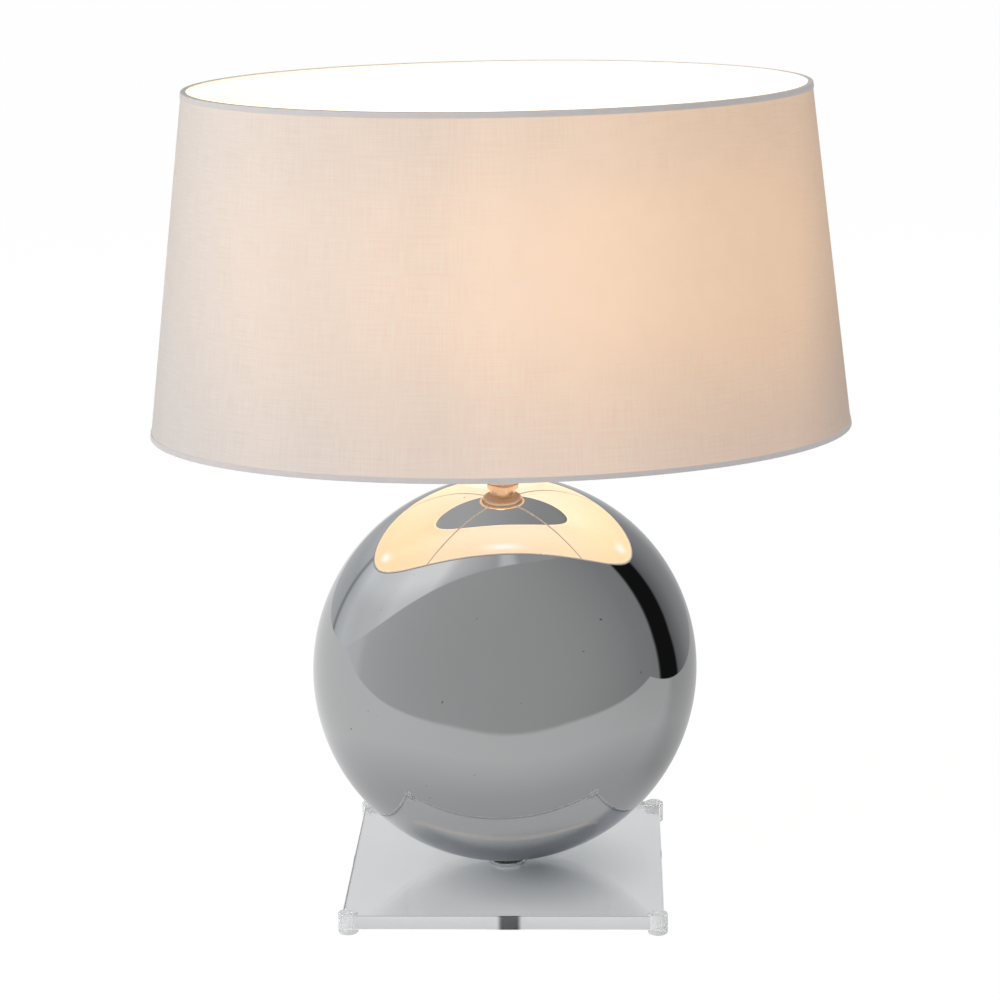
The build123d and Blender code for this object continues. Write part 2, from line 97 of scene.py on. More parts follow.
def colour(name, description, default):
    """A linear colour."""
    return FloatVectorProperty(
        name=name, description=description, default=default, size=3, min=0.0, max=1.0,
        subtype="COLOR",
    )


class FootSettings(PropertyGroup):
    """Clear plate and its feet."""
    side: length("Plate side", "Side of the square plate", 0.204)
    corner: length("Corner rounding", "Rounding of the four upright edges", 0.0015)
    polish: length("Edge polish", "Bevel along the top and bottom edges", 0.0005)
    turn: FloatProperty(
        name="Plate turn", description="How far the plate stands turned under the lamp",
        default=radians(-4.8), subtype="ANGLE",
    )
    bore: length("Rod bore", "Radius of the bore that the rod passes through", 0.0051)
    counterbore: length("Counterbore", "Radius of the recess under the plate", 0.0125)
    foot_radius: length("Foot radius", "Radius of a corner foot", 0.0063)
    foot_inset: length("Foot inset", "From the plate's edges to a foot's axis", 0.004)
    foot_lip: length("Foot lip", "Thickness of a foot on top of the plate", 0.001)
    foot_rounding: length("Foot rounding", "Rounding of a foot's rims", 0.0009)
    acrylic: colour("Acrylic", "Tint of the clear plate", (0.965, 0.975, 0.985))
    # painted glow of the light carried through the plate, shown at its polished edges
    painted_edge_glow: colour("Edge light", "Light that the polished edges carry", (0.52, 0.525, 0.53))
    silicone: colour("Silicone", "Tint of the soft clear feet", (0.93, 0.945, 0.95))


class GlassSettings(PropertyGroup):
    """Flattened round glass body."""
    width: length("Width", "Width of the body", glass_high.x - glass_low.x)
    height: length("Height", "Height before top and bottom are ground flat", 0.2588)
    depth: length("Depth", "Depth from front to back", glass_high.y - glass_low.y)
    ground_bottom: length("Ground bottom", "Height ground off at the bottom", 0.00085)
    face_power: amount("Face power", "The higher, the flatter the front and back", 4.0)
    rim_power: amount("Rim power", "2 is an elliptic rim, lower is more pointed", 1.8)
    wall: length("Wall", "Thickness of the glass", 0.004)
    pole_wall: length("Pole wall", "Thickness of the glass round the two holes", 0.008)
    hole: length("Rod hole", "Radius of the holes at top and bottom", 0.008)
    cord_hole: length("Cord hole", "Radius of the hole in the back", 0.005)
    sides: count("Sides", "Points round the rim", 256)
    rings: count("Rings", "Rings from front to back", 120)
    silvering: colour("Silvering", "Colour of the mirror layer", (0.5, 0.505, 0.51))


class NeckSettings(PropertyGroup):
    """Nickel tube between the glass and the lampholder."""
    wall: length("Wall", "Wall of the tube", 0.0012)
    edge: length("Edge", "Rounding of the tube's and cap's edges", 0.0003)
    cap_rounding: length("Cap rounding", "Rounding of the cap's top edge", 0.0007)
    # nickel's own warm tone, made more orange as a painted reflection of the lit shade
    nickel: colour("Nickel", "Colour of the polished metal", (0.70, 0.56, 0.44))


class ShadeSettings(PropertyGroup):
    """Oval shade with its trims, hoops and carrier."""
    trim: length("Trim thickness", "Thickness of the rolled edges", 0.0005)
    trim_height: length("Trim height", "Height of the rolled edges", 0.0034)
    fabric: length("Fabric thickness", "Thickness of the cloth", 0.0006)
    liner: length("Liner thickness", "Thickness of the film behind the cloth", 0.0005)
    gap: length("Slip gap", "Between the liner and a hoop", 0.0001)
    wire: length("Hoop wire", "Diameter of the two hoops", 0.0032)
    seam_width: length("Seam width", "Width of the overlap at the back", 0.009)
    seam: length("Seam thickness", "Thickness of the overlap at the back", 0.0004)
    arm_wire: length("Arm wire", "Diameter of the four arms", 0.003)
    arm_overlap: length("Arm overlap", "How far an arm runs into the carrier ring", 0.003)
    carrier_bore: length("Carrier bore", "Radius of the hole in the carrier ring", 0.0206)
    sides: count("Sides", "Points round the oval", 256)
    thread: length("Thread pitch", "Distance between threads of the weave", 0.00055)
    linen: colour("Linen", "Colour of the cloth", (0.72, 0.70, 0.685))
    # painted glow: the colour of the bulb's light through the cloth, painted on as emission
    glow: colour("Glow", "Colour of the light through the cloth", (1.0, 0.6, 0.3))
    edging: colour("Edging", "Colour of the rolled edges", (0.75, 0.71, 0.70))
    brass: colour("Carrier ring", "Colour of the carrier ring", (0.74, 0.52, 0.30))
    # the film's colours and glow below are the bulb's light on the inside, painted on as emission
    film: colour("Film", "Colour of the lit inside", (1.0, 0.65, 0.45))
    film_far: colour("Film at the ends", "Light of the lit liner at its ends", (1.0, 0.58, 0.26))
    film_glow: amount("Film's glow", "Strength of the light on the lit inside", 1.1)
    powder_coat: colour("Powder coat", "Colour of the hoops and carrier", (0.78, 0.76, 0.72))


class BulbSettings(PropertyGroup):
    """Slim tubular bulb."""
    dome: length("Dome rounding", "Rounding of the envelope's end", 0.015)
    thread_pitch: length("Thread pitch", "Pitch of the screw cap", 0.0036)
    thread_depth: length("Thread depth", "Depth of the screw cap's thread", 0.0007)
    collar_edge: length("Collar edge", "Upright edge where the collar meets the cap", 0.0008)
    collar_lip: length("Collar lip", "Upright edge where the collar meets the envelope", 0.0004)
    opal: colour("Opal", "Colour of the lit envelope", (1.0, 0.86, 0.64))
    light: amount("Light", "Strength of the envelope's light", 3.5)


class StageSettings(PropertyGroup):
    """Floor, lamps, world and camera."""
    floor: length("Floor side", "Side of the square floor", 30.0)
    table: length("Pale area", "Reach of the pale area of floor in front of the lamp", 0.4)
    table_right: length("Pale area, right", "Reach of the pale area to the right", 0.66)
    key_power: amount("Key light", "Power of the soft light at the left, in watts", 16.5)
    fill_power: amount("Fill light", "Power of the soft light in front, in watts", 3.0)
    back_power: amount("Back light", "Power of the soft light behind, in watts", 5.0)
    sky: amount("Sky", "Strength of the even light from all round", 0.27)
    focal: amount("Focal length", "Of the camera's lens, in millimetres", 110.46)


# ---- modelling by hand
def deselect():
    """Leaves no object selected, before a primitive is added."""
    bpy.ops.object.select_all(action="DESELECT")


def only(piece):
    """Selects this object alone and makes it active."""
    deselect()
    piece.select_set(True)
    bpy.context.view_layer.objects.active = piece


def named(name):
    """The primitive that was just added, with its name."""
    piece = bpy.context.object
    piece.name = piece.data.name = name
    return piece


def enter(piece):
    """Takes a piece into edit mode with all of it selected."""
    only(piece)
    bpy.ops.object.mode_set(mode="EDIT")
    bpy.ops.mesh.select_all(action="SELECT")


def leave(weld=False):
    """Ends edit mode; with weld, doubled points are merged and faces turned outwards first."""
    if weld:
        bpy.ops.mesh.select_all(action="SELECT")
        bpy.ops.mesh.remove_doubles(threshold=WELD)
        bpy.ops.mesh.normals_make_consistent(inside=False)
    bpy.ops.object.mode_set(mode="OBJECT")


def ringed(name, rings, sides, fill="NOTHING", closed=False):
    """A form about the lamp's axis, extruded from ring to ring.

    A ring is its half width, its half depth and its height. With fill, both ends are closed;
    a closed form's last ring meets its first.
    """
    deselect()
    wide, deep, height = rings[0]
    bpy.ops.mesh.primitive_circle_add(
        vertices=sides, radius=wide, fill_type=fill, location=(0, 0, height)
    )
    piece = named(name)
    bpy.ops.object.transform_apply()
    enter(piece)
    bpy.ops.transform.resize(value=(1, deep / wide, 1), center_override=(0, 0, height))
    path = rings + rings[:1] if closed else rings
    for (wide, deep, height), (next_wide, next_deep, next_height) in zip(path, path[1:]):
        bpy.ops.mesh.extrude_region_move(
            TRANSFORM_OT_translate={"value": (0, 0, next_height - height)}
        )
        bpy.ops.transform.resize(
            value=(next_wide / wide, next_deep / deep, 1), center_override=(0, 0, next_height)
        )
    leave(weld=True)
    return piece


def turned(name, profile, sides=96, fill="NOTHING", closed=False):
    """A round form about the lamp's axis; its profile holds radius and height."""
    return ringed(name, [(r, r, z) for r, z in profile], sides, fill, closed)


def moved(piece, offset):
    """Moves a piece and applies its place."""
    only(piece)
    bpy.ops.transform.translate(value=offset)
    bpy.ops.object.transform_apply()
    return piece


def tipped(piece, angle):
    """Turns a piece's mesh about the X axis."""
    enter(piece)
    bpy.ops.transform.rotate(value=angle, orient_axis="X", center_override=(0, 0, 0))
    leave()


def trimmed(piece, point, normal, fill=True):
    """Takes off what lies beyond a plane."""
    enter(piece)
    bpy.ops.mesh.bisect(plane_co=point, plane_no=normal, use_fill=fill, clear_outer=True)
    leave()


def copied(piece, name, turn):
    """A copy of a piece with its own mesh, turned about the lamp's axis."""
    only(piece)
    bpy.ops.object.duplicate()
    copy = named(name)
    copy.matrix_world = Matrix.Rotation(turn, 4, "Z")
    bpy.ops.object.transform_apply()
    return copy


def cut(piece, cutter):
    """Takes the cutter's volume out of a piece and deletes the cutter."""
    only(piece)
    modifier = piece.modifiers.new("Cut", "BOOLEAN")
    modifier.object, modifier.operation, modifier.solver = cutter, "DIFFERENCE", "EXACT"
    bpy.ops.object.modifier_apply(modifier=modifier.name)
    only(cutter)
    bpy.ops.object.delete()


def bevelled(piece, chosen, width, segments):
    """Bevels the edges whose two ends pass a test."""
    enter(piece)
    bpy.ops.mesh.select_mode(type="EDGE")
    bpy.ops.mesh.select_all(action="DESELECT")
    mesh = bmesh.from_edit_mesh(piece.data)
    for edge in mesh.edges:
        edge.select_set(bool(chosen(edge.verts[0].co, edge.verts[1].co)))
    bmesh.update_edit_mesh(piece.data)
    bpy.ops.mesh.bevel(offset=width, offset_type="OFFSET", segments=segments, affect="EDGES")
    leave()


def block(name, side, low, high, turn):
    """A square block about the lamp's axis between two heights."""
    deselect()
    bpy.ops.mesh.primitive_cube_add(
        size=1, location=(0, 0, (low + high) / 2), rotation=(0, 0, turn),
        scale=(side, side, high - low),
    )
    piece = named(name)
    bpy.ops.object.transform_apply()
    return piece


def arc(centre, radius, start, end, steps):
    """Points of an arc in a profile, from one angle to another, in degrees."""
    angles = [radians(start + (end - start) * step / steps) for step in range(steps + 1)]
    return [(centre[0] + radius * cos(a), centre[1] + radius * sin(a)) for a in angles]


def rounded_side(radius, low, high, under, over):
    """The outer side of a profile; under and over are an edge's rounding and its steps."""
    (below, few), (above, many) = under, over
    return (arc((radius - below, low + below), below, -90, 0, few)
            + arc((radius - above, high - above), above, 0, 90, many))


def painted(piece, finish):
    """Gives a piece this finish and no other."""
    piece.data.materials.clear()
    piece.data.materials.append(finish)


def done(piece, body, slot, finish, *nodes, smooth=35):
    """Shades a finished piece, gives it its finish and hands it to the frame."""
    only(piece)
    bpy.ops.object.transform_apply()
    bpy.ops.object.shade_smooth_by_angle(angle=radians(smooth))
    painted(piece, finish)
    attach(piece, body)
    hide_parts(*nodes)
    return piece


def coat(finish, *nodes):
    """Gives CAD nodes a finish."""
    for node in nodes:
        painted(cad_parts[node], finish)


# ---- materials by hand
class Signal:
    """A socket of a material; Python's operators on it add Math nodes."""

    def __init__(self, tree, socket):
        self.tree = tree
        self.socket = socket

    def size(self):
        return self.tree.maths("ABSOLUTE", self)


for symbol, operation in (
    ("add", "ADD"), ("sub", "SUBTRACT"), ("mul", "MULTIPLY"), ("truediv", "DIVIDE"),
    ("pow", "POWER"),
):
    setattr(Signal, f"__{symbol}__",
            lambda self, other, kind=operation: self.tree.maths(kind, self, other))
    setattr(Signal, f"__r{symbol}__",
            lambda self, other, kind=operation: self.tree.maths(kind, other, self))


class Tree:
    """The node tree of a material or of the world."""

    def __init__(self, owner):
        self.owner = owner
        owner.use_nodes = True
        self.tree = owner.node_tree
        self.tree.nodes.clear()

    def node(self, kind, settings=None, sockets=None, result=0):
        """Adds a node, sets it up, feeds its sockets and returns one of its outputs."""
        node = self.tree.nodes.new("ShaderNode" + kind)
        place = len(self.tree.nodes)
        node.location = (220 * (place % 10), -320 * (place // 10))
        for name, value in (settings or {}).items():
            if name == "stops":
                elements = node.color_ramp.elements
                elements.remove(elements[1])
                elements[0].position, elements[0].color = value[0]
                for position, shade in value[1:]:
                    elements.new(position).color = shade
            elif name == "blending":
                node.color_ramp.interpolation = value
            else:
                setattr(node, name, value)
        for name, value in (sockets or {}).items():
            if isinstance(value, Signal):
                self.tree.links.new(value.socket, node.inputs[name])
            else:
                node.inputs[name].default_value = value
        return Signal(self, node.outputs[result] if node.outputs else None)

    def maths(self, operation, *values):
        return self.node("Math", {"operation": operation}, dict(enumerate(values)))

    def place(self):
        """Where a point lies on the object."""
        return self.node("TexCoord", result="Object")

    def axes(self, vector):
        """The three numbers of a vector."""
        parts = self.node("SeparateXYZ", sockets={"Vector": vector}).socket.node
        return [Signal(self, parts.outputs[axis]) for axis in range(3)]

    def stretched(self, vector, scale):
        """A vector with each number scaled by its own factor."""
        return self.node("VectorMath", {"operation": "MULTIPLY"}, {0: vector, 1: scale})

    def noise(self, vector, scale, detail=2.0, roughness=0.5):
        return self.node(
            "TexNoise", None,
            {"Vector": vector, "Scale": scale, "Detail": detail, "Roughness": roughness},
        )

    def span(self, value, low, high, new_low=0.0, new_high=1.0, smooth=True):
        """A number brought from one span to another and held within it."""
        kind = "SMOOTHSTEP" if smooth else "LINEAR"
        return self.node(
            "MapRange", {"interpolation_type": kind},
            {"Value": value, "From Min": low, "From Max": high, "To Min": new_low,
             "To Max": new_high},
        )

    def spread(self, noise, low, high):
        """The middle values of a noise brought to a span."""
        return self.span(noise, 0.3, 0.7, low, high)

    def mixed(self, factor, first, second, blend="MIX"):
        """One colour mixed into another."""
        return self.node(
            "Mix", {"data_type": "RGBA", "blend_type": blend}, {0: factor, 6: first, 7: second},
            result=2,
        )

    def toned(self, mask, tint, first, second):
        """A colour that goes over a mask from one share of itself to another."""
        return self.mixed(mask, opaque(tint, first), opaque(tint, second))

    def product(self, first, second):
        """Two colours multiplied."""
        return self.mixed(1.0, first, second, "MULTIPLY")

    def coloured(self, *parts):
        """A colour from three numbers, or a grey from one."""
        parts = parts * 3 if len(parts) == 1 else parts
        return self.node("CombineColor", None, dict(enumerate(parts)))

    def ramp(self, factor, stops, blending="LINEAR"):
        """Colours at places from 0 to 1."""
        return self.node("ValToRGB", {"blending": blending, "stops": stops}, {"Fac": factor})

    def rays(self):
        """Whether a ray comes from the camera, through a clear piece or from a mirror."""
        kinds = ("Camera", "Transmission", "Glossy")
        return [self.node("LightPath", result=f"Is {kind} Ray") for kind in kinds]

    def light(self, tone, strength=1.0, kind="Emission"):
        return self.node(kind, None, {"Color": tone, "Strength": strength})

    def either(self, factor, first, second):
        """One shader mixed into another."""
        return self.node("MixShader", None, {0: factor, 1: first, 2: second})

    def bump(self, height, strength, distance):
        return self.node(
            "Bump", None, {"Height": height, "Strength": strength, "Distance": distance}
        )

    def surface(self, **sockets):
        """Closes a material with one Principled shader and returns the material."""
        if "Emission_Color" in sockets:
            sockets.setdefault("Emission_Strength", 1.0)
        named_sockets = {name.replace("_", " "): value for name, value in sockets.items()}
        shader = self.node("BsdfPrincipled", None, named_sockets)
        self.node("OutputMaterial", None, {"Surface": shader})
        return self.owner


def new_tree(name):
    """A new material's node tree, and where a point lies on the object."""
    tree = Tree(bpy.data.materials.new(name))
    return tree, tree.place()


def opaque(value, factor=1.0):
    """A colour as a node's socket takes it."""
    return (value[0] * factor, value[1] * factor, value[2] * factor, 1.0)


def grey(tone):
    return (tone, tone, tone, 1.0)


def clear_acrylic(foot):
    """Clear sheet; its light is a painted glow at polished edges, but for a painted nut shade."""
    tree, place = new_tree("clear_acrylic")
    across, along, up = tree.axes(place)
    aside = across * cos(foot.turn) + along * sin(foot.turn)
    ahead = along * cos(foot.turn) - across * sin(foot.turn)
    outermost = tree.maths("MAXIMUM", aside.size(), ahead.size())
    edge = tree.span(outermost, foot.side / 2 - 0.0007, foot.side / 2 - 0.0002)
    middle, half = (plate_low.z + plate_high.z) / 2, (plate_high.z - plate_low.z) / 2
    edge = edge * tree.span((up - middle).size(), half - 0.0006, half - 0.0004, 1.0, 0.9)
    # the nut's painted shade in the edge glow lies halfway between the plate's turn and the lamp's
    # axes
    aside, ahead = (across + aside) * 0.5, (along + ahead) * 0.5
    clear_of_painted_nut_shade = tree.span(
        tree.maths("MINIMUM", aside.size(), ahead.size()), 0.0045, 0.0085
    )
    outside = 1.0 - tree.node("NewGeometry", result="Backfacing")
    haze = tree.noise(place, 60.0, 4.0, 0.6)
    scratches = tree.noise(tree.stretched(place, (900.0, 60.0, 60.0)), 1.0, 3.0, 0.6)
    smears = tree.span(haze, 0.45, 0.75, 0.0, 0.03)
    return tree.surface(
        Base_Color=tree.toned(haze, foot.acrylic, 1.0, 0.985),
        Roughness=smears + tree.span(scratches, 0.62, 0.8, 0.07, 0.12) + edge * 0.3,
        IOR=1.49,
        Specular_IOR_Level=0.25,
        Transmission_Weight=1.0,
        # painted edge glow, seen from outside only, with a gap for the nut's painted shade
        Emission_Color=tree.toned(edge * clear_of_painted_nut_shade * outside, foot.painted_edge_glow, 0.0, 1.0),
        Normal=tree.bump(haze, 0.05, 0.0001),
    )


def clear_silicone(tint):
    tree, place = new_tree("clear_silicone")
    mottle = tree.noise(place, 450.0, 3.0, 0.6)
    return tree.surface(
        Base_Color=tree.toned(mottle, tint, 1.0, 0.97),
        Roughness=tree.spread(mottle, 0.1, 0.3),
        IOR=1.41,
        Transmission_Weight=0.6,
        # a faint painted glow on the clear silicone
        Emission_Color=tree.toned(mottle, tint, 0.09, 0.07),
        Normal=tree.bump(mottle, 0.12, 0.0002),
    )


def mirrored_glass(silvering):
    tree, place = new_tree("mirrored_glass")
    cloud = tree.noise(place, 14.0, 3.0, 0.55)
    grain = tree.noise(place, 900.0, 2.0, 0.5)
    pits = tree.span(tree.noise(place, 260.0, 1.0, 0.4), 0.80, 0.84)
    tone = tree.toned(cloud, silvering, 0.965, 1.02)
    smear = tree.span(cloud, 0.45, 0.8, 0.012, 0.05)
    return tree.surface(
        Base_Color=tree.mixed(pits, tone, opaque(silvering, 0.35)),
        Metallic=1.0,
        Roughness=smear + pits * 0.3 + grain * 0.01,
        Coat_Weight=1.0,
        Coat_Roughness=0.01,
        Normal=tree.bump(cloud, 0.05, 0.002),
    )


def polished_metal(name, tone, low, high, painted_glow=0.0):
    """Metal with fine brushing; painted_glow is the lit shade's light, painted on as a glow."""
    tree, place = new_tree(name)
    brushing = tree.noise(tree.stretched(place, (1500.0, 1500.0, 60.0)), 1.0, 3.0, 0.6)
    stain = tree.noise(place, 120.0, 3.0, 0.6)
    return tree.surface(
        Base_Color=tree.toned(stain, tone, 1.0, 0.86),
        Metallic=1.0,
        Roughness=tree.spread(brushing, low, high) + stain * 0.04,
        # painted warm glow of the lit shade's light, as strong as painted_glow
        Emission_Color=tree.mixed(stain, (1.0, 0.56, 0.27, 1.0), (1.0, 0.62, 0.33, 1.0)),
        Emission_Strength=painted_glow,
        Normal=tree.bump(brushing, 0.12, 0.00005),
    )


def moulded(name, tone, low, high, scale=1600.0, painted_glow=0.0, light=(1.0, 0.58, 0.27)):
    """A moulded or painted finish; painted_glow paints on light that glass and shade throw on it.
    """
    tree, place = new_tree(name)
    grain = tree.noise(place, scale, 3.0, 0.6)
    mottle = tree.noise(place, 90.0, 2.0, 0.5)
    return tree.surface(
        Base_Color=tree.toned(mottle, tone, 1.0, 0.93),
        Roughness=tree.spread(grain, low, high),
        # painted glow in the given light colour, as strong as painted_glow
        Emission_Color=tree.toned(mottle, light, 1.0, 0.94),
        Emission_Strength=painted_glow,
        Normal=tree.bump(grain, 0.2, 0.00004),
    )


def shade_cloth(shade):
    """Plain weave on the piece's own UV map, with the bulb's light behind it painted on as a glow.
    """
    tree, place = new_tree("shade_cloth")
    weave = tree.node("UVMap", {"uv_map": "weave"})
    turns = 2 * pi / shade.thread
    round_wall, up_wall, _ = tree.axes(weave)
    warp_slub = tree.noise(tree.stretched(weave, (1500.0, 42.0, 0.0)), 1.0, 3.0, 0.6)
    weft_slub = tree.noise(tree.stretched(weave, (42.0, 1500.0, 0.0)), 1.0, 3.0, 0.6)
    warp = tree.maths("SINE", round_wall * turns)
    weft = tree.maths("SINE", up_wall * turns)
    lace = warp * weft * 0.5 + 0.5
    slub = (warp_slub + weft_slub) * 0.5
    cloud = tree.noise(weave, 9.0, 3.0, 0.55)
    thread = tree.toned(
        tree.span(slub, 0.36, 0.64, smooth=False), shade.linen, 0.93, 1.05
    )
    across, _, up = tree.axes(place)
    # painted glow of the bulb's light through the cloth: brightest just right of the middle,
    # dimmer at the ends, top and bottom
    band = 0.46
    sideways = tree.ramp(across / band + 0.5, [
        (x / band + 0.5, grey(g)) for x, g in (
            (-0.22, 0.13), (-0.137, 0.33), (-0.06, 0.43), (0.0, 0.56), (0.05, 0.61),
            (0.17, 0.56), (0.22, 0.36))
    ], "EASE")
    height = (up - shade_low.z) / (shade_top_high.z - shade_low.z)
    upright = tree.ramp(height, [
        (0.0, grey(0.7)), (0.5, grey(1.0)), (0.62, grey(1.0)), (1.0, grey(0.82)),
    ], "EASE")
    through = sideways * upright * tree.span(slub, 0.36, 0.64, 0.93, 1.07, smooth=False)
    through = through * tree.spread(cloud, 0.97, 1.03)
    # the painted glow turns whiter towards the bottom and the top
    glow = tree.product(tree.toned(through, shade.glow, 0.0, 1.0), tree.ramp(height, [
        (0.0, (1.0, 1.08, 1.4, 1)), (0.3, (1, 1, 1.05, 1)), (0.7, (1, 1, 1.03, 1)),
        (1.0, (1.0, 1.04, 1.15, 1)),
    ]))
    return tree.surface(
        Base_Color=tree.mixed(lace * 0.22, thread, opaque(shade.linen, 0.78)),
        Roughness=tree.spread(slub, 0.78, 0.92),
        Sheen_Weight=0.15,
        Sheen_Roughness=0.5,
        Emission_Color=glow,
        Normal=tree.bump(lace + slub, 0.35, 0.0002),
    )


def edging_cloth(shade):
    """Close cloth; the bulb's light through it is a painted glow that grows towards the right."""
    tree, place = new_tree("trim_cloth")
    threads = tree.noise(tree.stretched(place, (900.0, 900.0, 2600.0)), 1.0, 3.0, 0.6)
    mottle = tree.noise(place, 160.0, 2.0, 0.5)
    across = tree.axes(place)[0]
    # painted glow of the bulb's light, growing towards the right
    through = tree.span(across, -0.2, 0.2, 0.06, 0.21, smooth=False) - mottle * 0.01
    tone = tree.toned(mottle, shade.edging, 1.0, 0.92)
    return tree.surface(
        Base_Color=tree.mixed(threads * 0.3, tone, opaque(shade.edging, 0.75)),
        Roughness=tree.spread(threads, 0.7, 0.9),
        Emission_Color=tree.toned(through, (1.0, 0.97, 0.94), 0.0, 1.0),
        Normal=tree.bump(threads, 0.3, 0.0002),
    )


def liner_film(shade):
    """Glossy white film with the bulb's light painted on, and painted glints at front, back, ends.
    """
    tree, place = new_tree("white_liner")
    across, along, up = tree.axes(place)
    high = up - (shade_low.z + shade_top_high.z) / 2
    reach = (across * across + along * along + high * high * 0.5) ** 0.5
    # painted glow of the bulb's light on the film, more orange towards the ends
    lit = tree.mixed(
        tree.span(reach, 0.11, 0.24), opaque(shade.film), opaque(shade.film_far)
    )
    # painted glints: highlights of the bulb in front, behind and at the ends
    band = tree.span((up - shade_low.z - 0.03).size(), 0.0, 0.02, 1.0, 0.0)
    in_front = tree.span(across.size(), 0.0, 0.045, 1.0, 0.0)
    at_end = tree.span(along.size(), 0.0, 0.035, 1.0, 0.0)
    at_end = at_end * tree.span(across.size(), 0.15, 0.18)
    painted_glint = band * tree.maths("MAXIMUM", in_front, at_end)
    speckle = tree.noise(place, 500.0, 2.0, 0.5)
    return tree.surface(
        Base_Color=tree.mixed(speckle, (0.84, 0.83, 0.80, 1.0), (0.88, 0.87, 0.84, 1.0)),
        Roughness=tree.spread(speckle, 0.26, 0.34),
        Emission_Color=tree.mixed(painted_glint, lit, WHITE),
        Emission_Strength=shade.film_glow,
        Normal=tree.bump(speckle, 0.1, 0.00005),
    )


def opal_glass(bulb):
    """Lit white glass, dimmer where it starts."""
    tree, place = new_tree("opal_glass")
    up = tree.axes(place)[2]
    share = tree.span(up, envelope_low.z, envelope_low.z + 0.02, 0.55, 1.0)
    speckle = tree.noise(place, 400.0, 2.0, 0.5)
    return tree.surface(
        Base_Color=tree.mixed(speckle, (0.9, 0.88, 0.84, 1.0), (0.94, 0.92, 0.88, 1.0)),
        Roughness=tree.spread(speckle, 0.15, 0.25),
        Emission_Color=tree.toned(share, bulb.opal, 0.0, 1.0),
        Emission_Strength=bulb.light,
    )


# ---- foot
class LAMP_OT_foot_plate(Operator):
    """Model the clear square plate with its rod bore and the recess for the nut"""
    bl_idname = "lamp.foot_plate"
    bl_label = "Foot Plate"

    def execute(self, context):
        foot = context.scene.lamp_foot
        low, high, roof = plate_low.z, plate_high.z, washer_high.z
        piece = block("foot_plate_clear", foot.side, low, high, foot.turn)
        bevelled(piece, lambda a, b: abs(a.z - b.z) > WELD, foot.corner, 5)
        bevelled(piece, lambda a, b: abs(a.z - b.z) < WELD, foot.polish, 2)
        profile = [(foot.counterbore, low - PAST), (foot.counterbore, roof),
                   (foot.bore, roof), (foot.bore, high + PAST)]
        cut(piece, turned("recess_cutter", profile, fill="NGON"))
        done(piece, "stand", "clear_acrylic", clear_acrylic(foot), "foot_plate", smooth=20)
        return {"FINISHED"}


class LAMP_OT_feet(Operator):
    """Model one soft corner foot and copy it to the other three corners"""
    bl_idname = "lamp.feet"
    bl_label = "Corner Feet"

    def execute(self, context):
        foot = context.scene.lamp_foot
        finish = clear_silicone(foot.silicone)
        edge = (foot.foot_rounding, 5)
        profile = rounded_side(foot.foot_radius, 0, plate_high.z + foot.foot_lip, edge, edge)
        reach = foot.side / 2 - foot.foot_inset
        names = ("foot_front_left", "foot_front_right", "foot_back_right", "foot_back_left")
        first = turned(names[0] + "_soft", profile, sides=64, fill="NGON")
        moved(first, Matrix.Rotation(foot.turn, 4, "Z") @ Vector((-reach, -reach, 0)))
        cut(first, block("slot_cutter", foot.side + 2 * SLIP, plate_low.z - SLIP,
                         plate_high.z + SLIP, foot.turn))
        pieces = [first] + [
            copied(first, names[quarter] + "_soft", quarter * pi / 2) for quarter in (1, 2, 3)
        ]
        for piece, name in zip(pieces, names):
            done(piece, "stand", "clear_silicone", finish, name)
        return {"FINISHED"}


# ---- glass body
def rim_share(turn, glass):
    """Shares of the half width and the half depth at an angle of the body's section."""
    outward, forward = cos(turn), abs(sin(turn))
    near, far = 0.5, 2.0
    for _ in range(50):
        reach = (near + far) / 2
        inside = (
            (reach * outward) ** glass.face_power + (reach * forward) ** glass.rim_power < 1
        )
        near, far = (reach, far) if inside else (near, reach)
    return reach * outward, reach * sin(turn)


def flattened_round(name, glass, width, height, depth, rings, sides):
    """The body's form about its middle: rings from front to back, then stood upright."""
    last = radians(89.3)
    turns = [-last + 2 * last * step / rings for step in range(rings + 1)]
    shares = [rim_share(turn, glass) for turn in turns]
    piece = ringed(
        name, [(r * width / 2, r * height / 2, d * depth / 2) for r, d in shares], sides, "TRIFAN"
    )
    tipped(piece, pi / 2)
    return moved(piece, (0, 0, glass_low.z + glass.height / 2 - glass.ground_bottom))


def grommet_lean():
    """How far the grommet's axis dips below the level, from its box."""
    across, deep, tall = grommet_high - grommet_low
    # tall = across * cos(lean) + thickness * sin(lean), deep = across * sin + thickness * cos
    return min(
        (radians(step / 10) for step in range(600)),
        key=lambda lean: abs(
            (tall - across * cos(lean)) * cos(lean) - (deep - across * sin(lean)) * sin(lean)
        ),
    )


class LAMP_OT_glass_body(Operator):
    """Model the hollow mirrored body with its ground ends and holes"""
    bl_idname = "lamp.glass_body"
    bl_label = "Glass Body"

    def execute(self, context):
        glass = context.scene.lamp_glass
        piece = flattened_round("glass_body_mirrored", glass, glass.width, glass.height,
                                glass.depth, glass.rings, glass.sides)
        for height, up in ((glass_high.z, 1), (glass_low.z, -1)):
            trimmed(piece, (0, 0, height), (0, 0, up))
        cut(piece, flattened_round(
            "hollow_cutter", glass, glass.width - 2 * glass.wall,
            glass.height - 2 * glass.pole_wall, glass.depth - 2 * glass.wall, 40, 96,
        ))
        profile = [(glass.hole, glass_low.z - PAST), (glass.hole, glass_high.z + PAST)]
        cut(piece, turned("rod_hole_cutter", profile, 64, "NGON"))
        profile = [(glass.cord_hole, -2 * PAST), (glass.cord_hole, 2 * PAST)]
        cord_hole = turned("cord_hole_cutter", profile, 48, "NGON")
        tipped(cord_hole, pi / 2 - grommet_lean())
        cut(piece, moved(cord_hole, (grommet_low + grommet_high) / 2))
        done(piece, "stand", "mirrored_glass", mirrored_glass(glass.silvering), "glass_body")
        return {"FINISHED"}


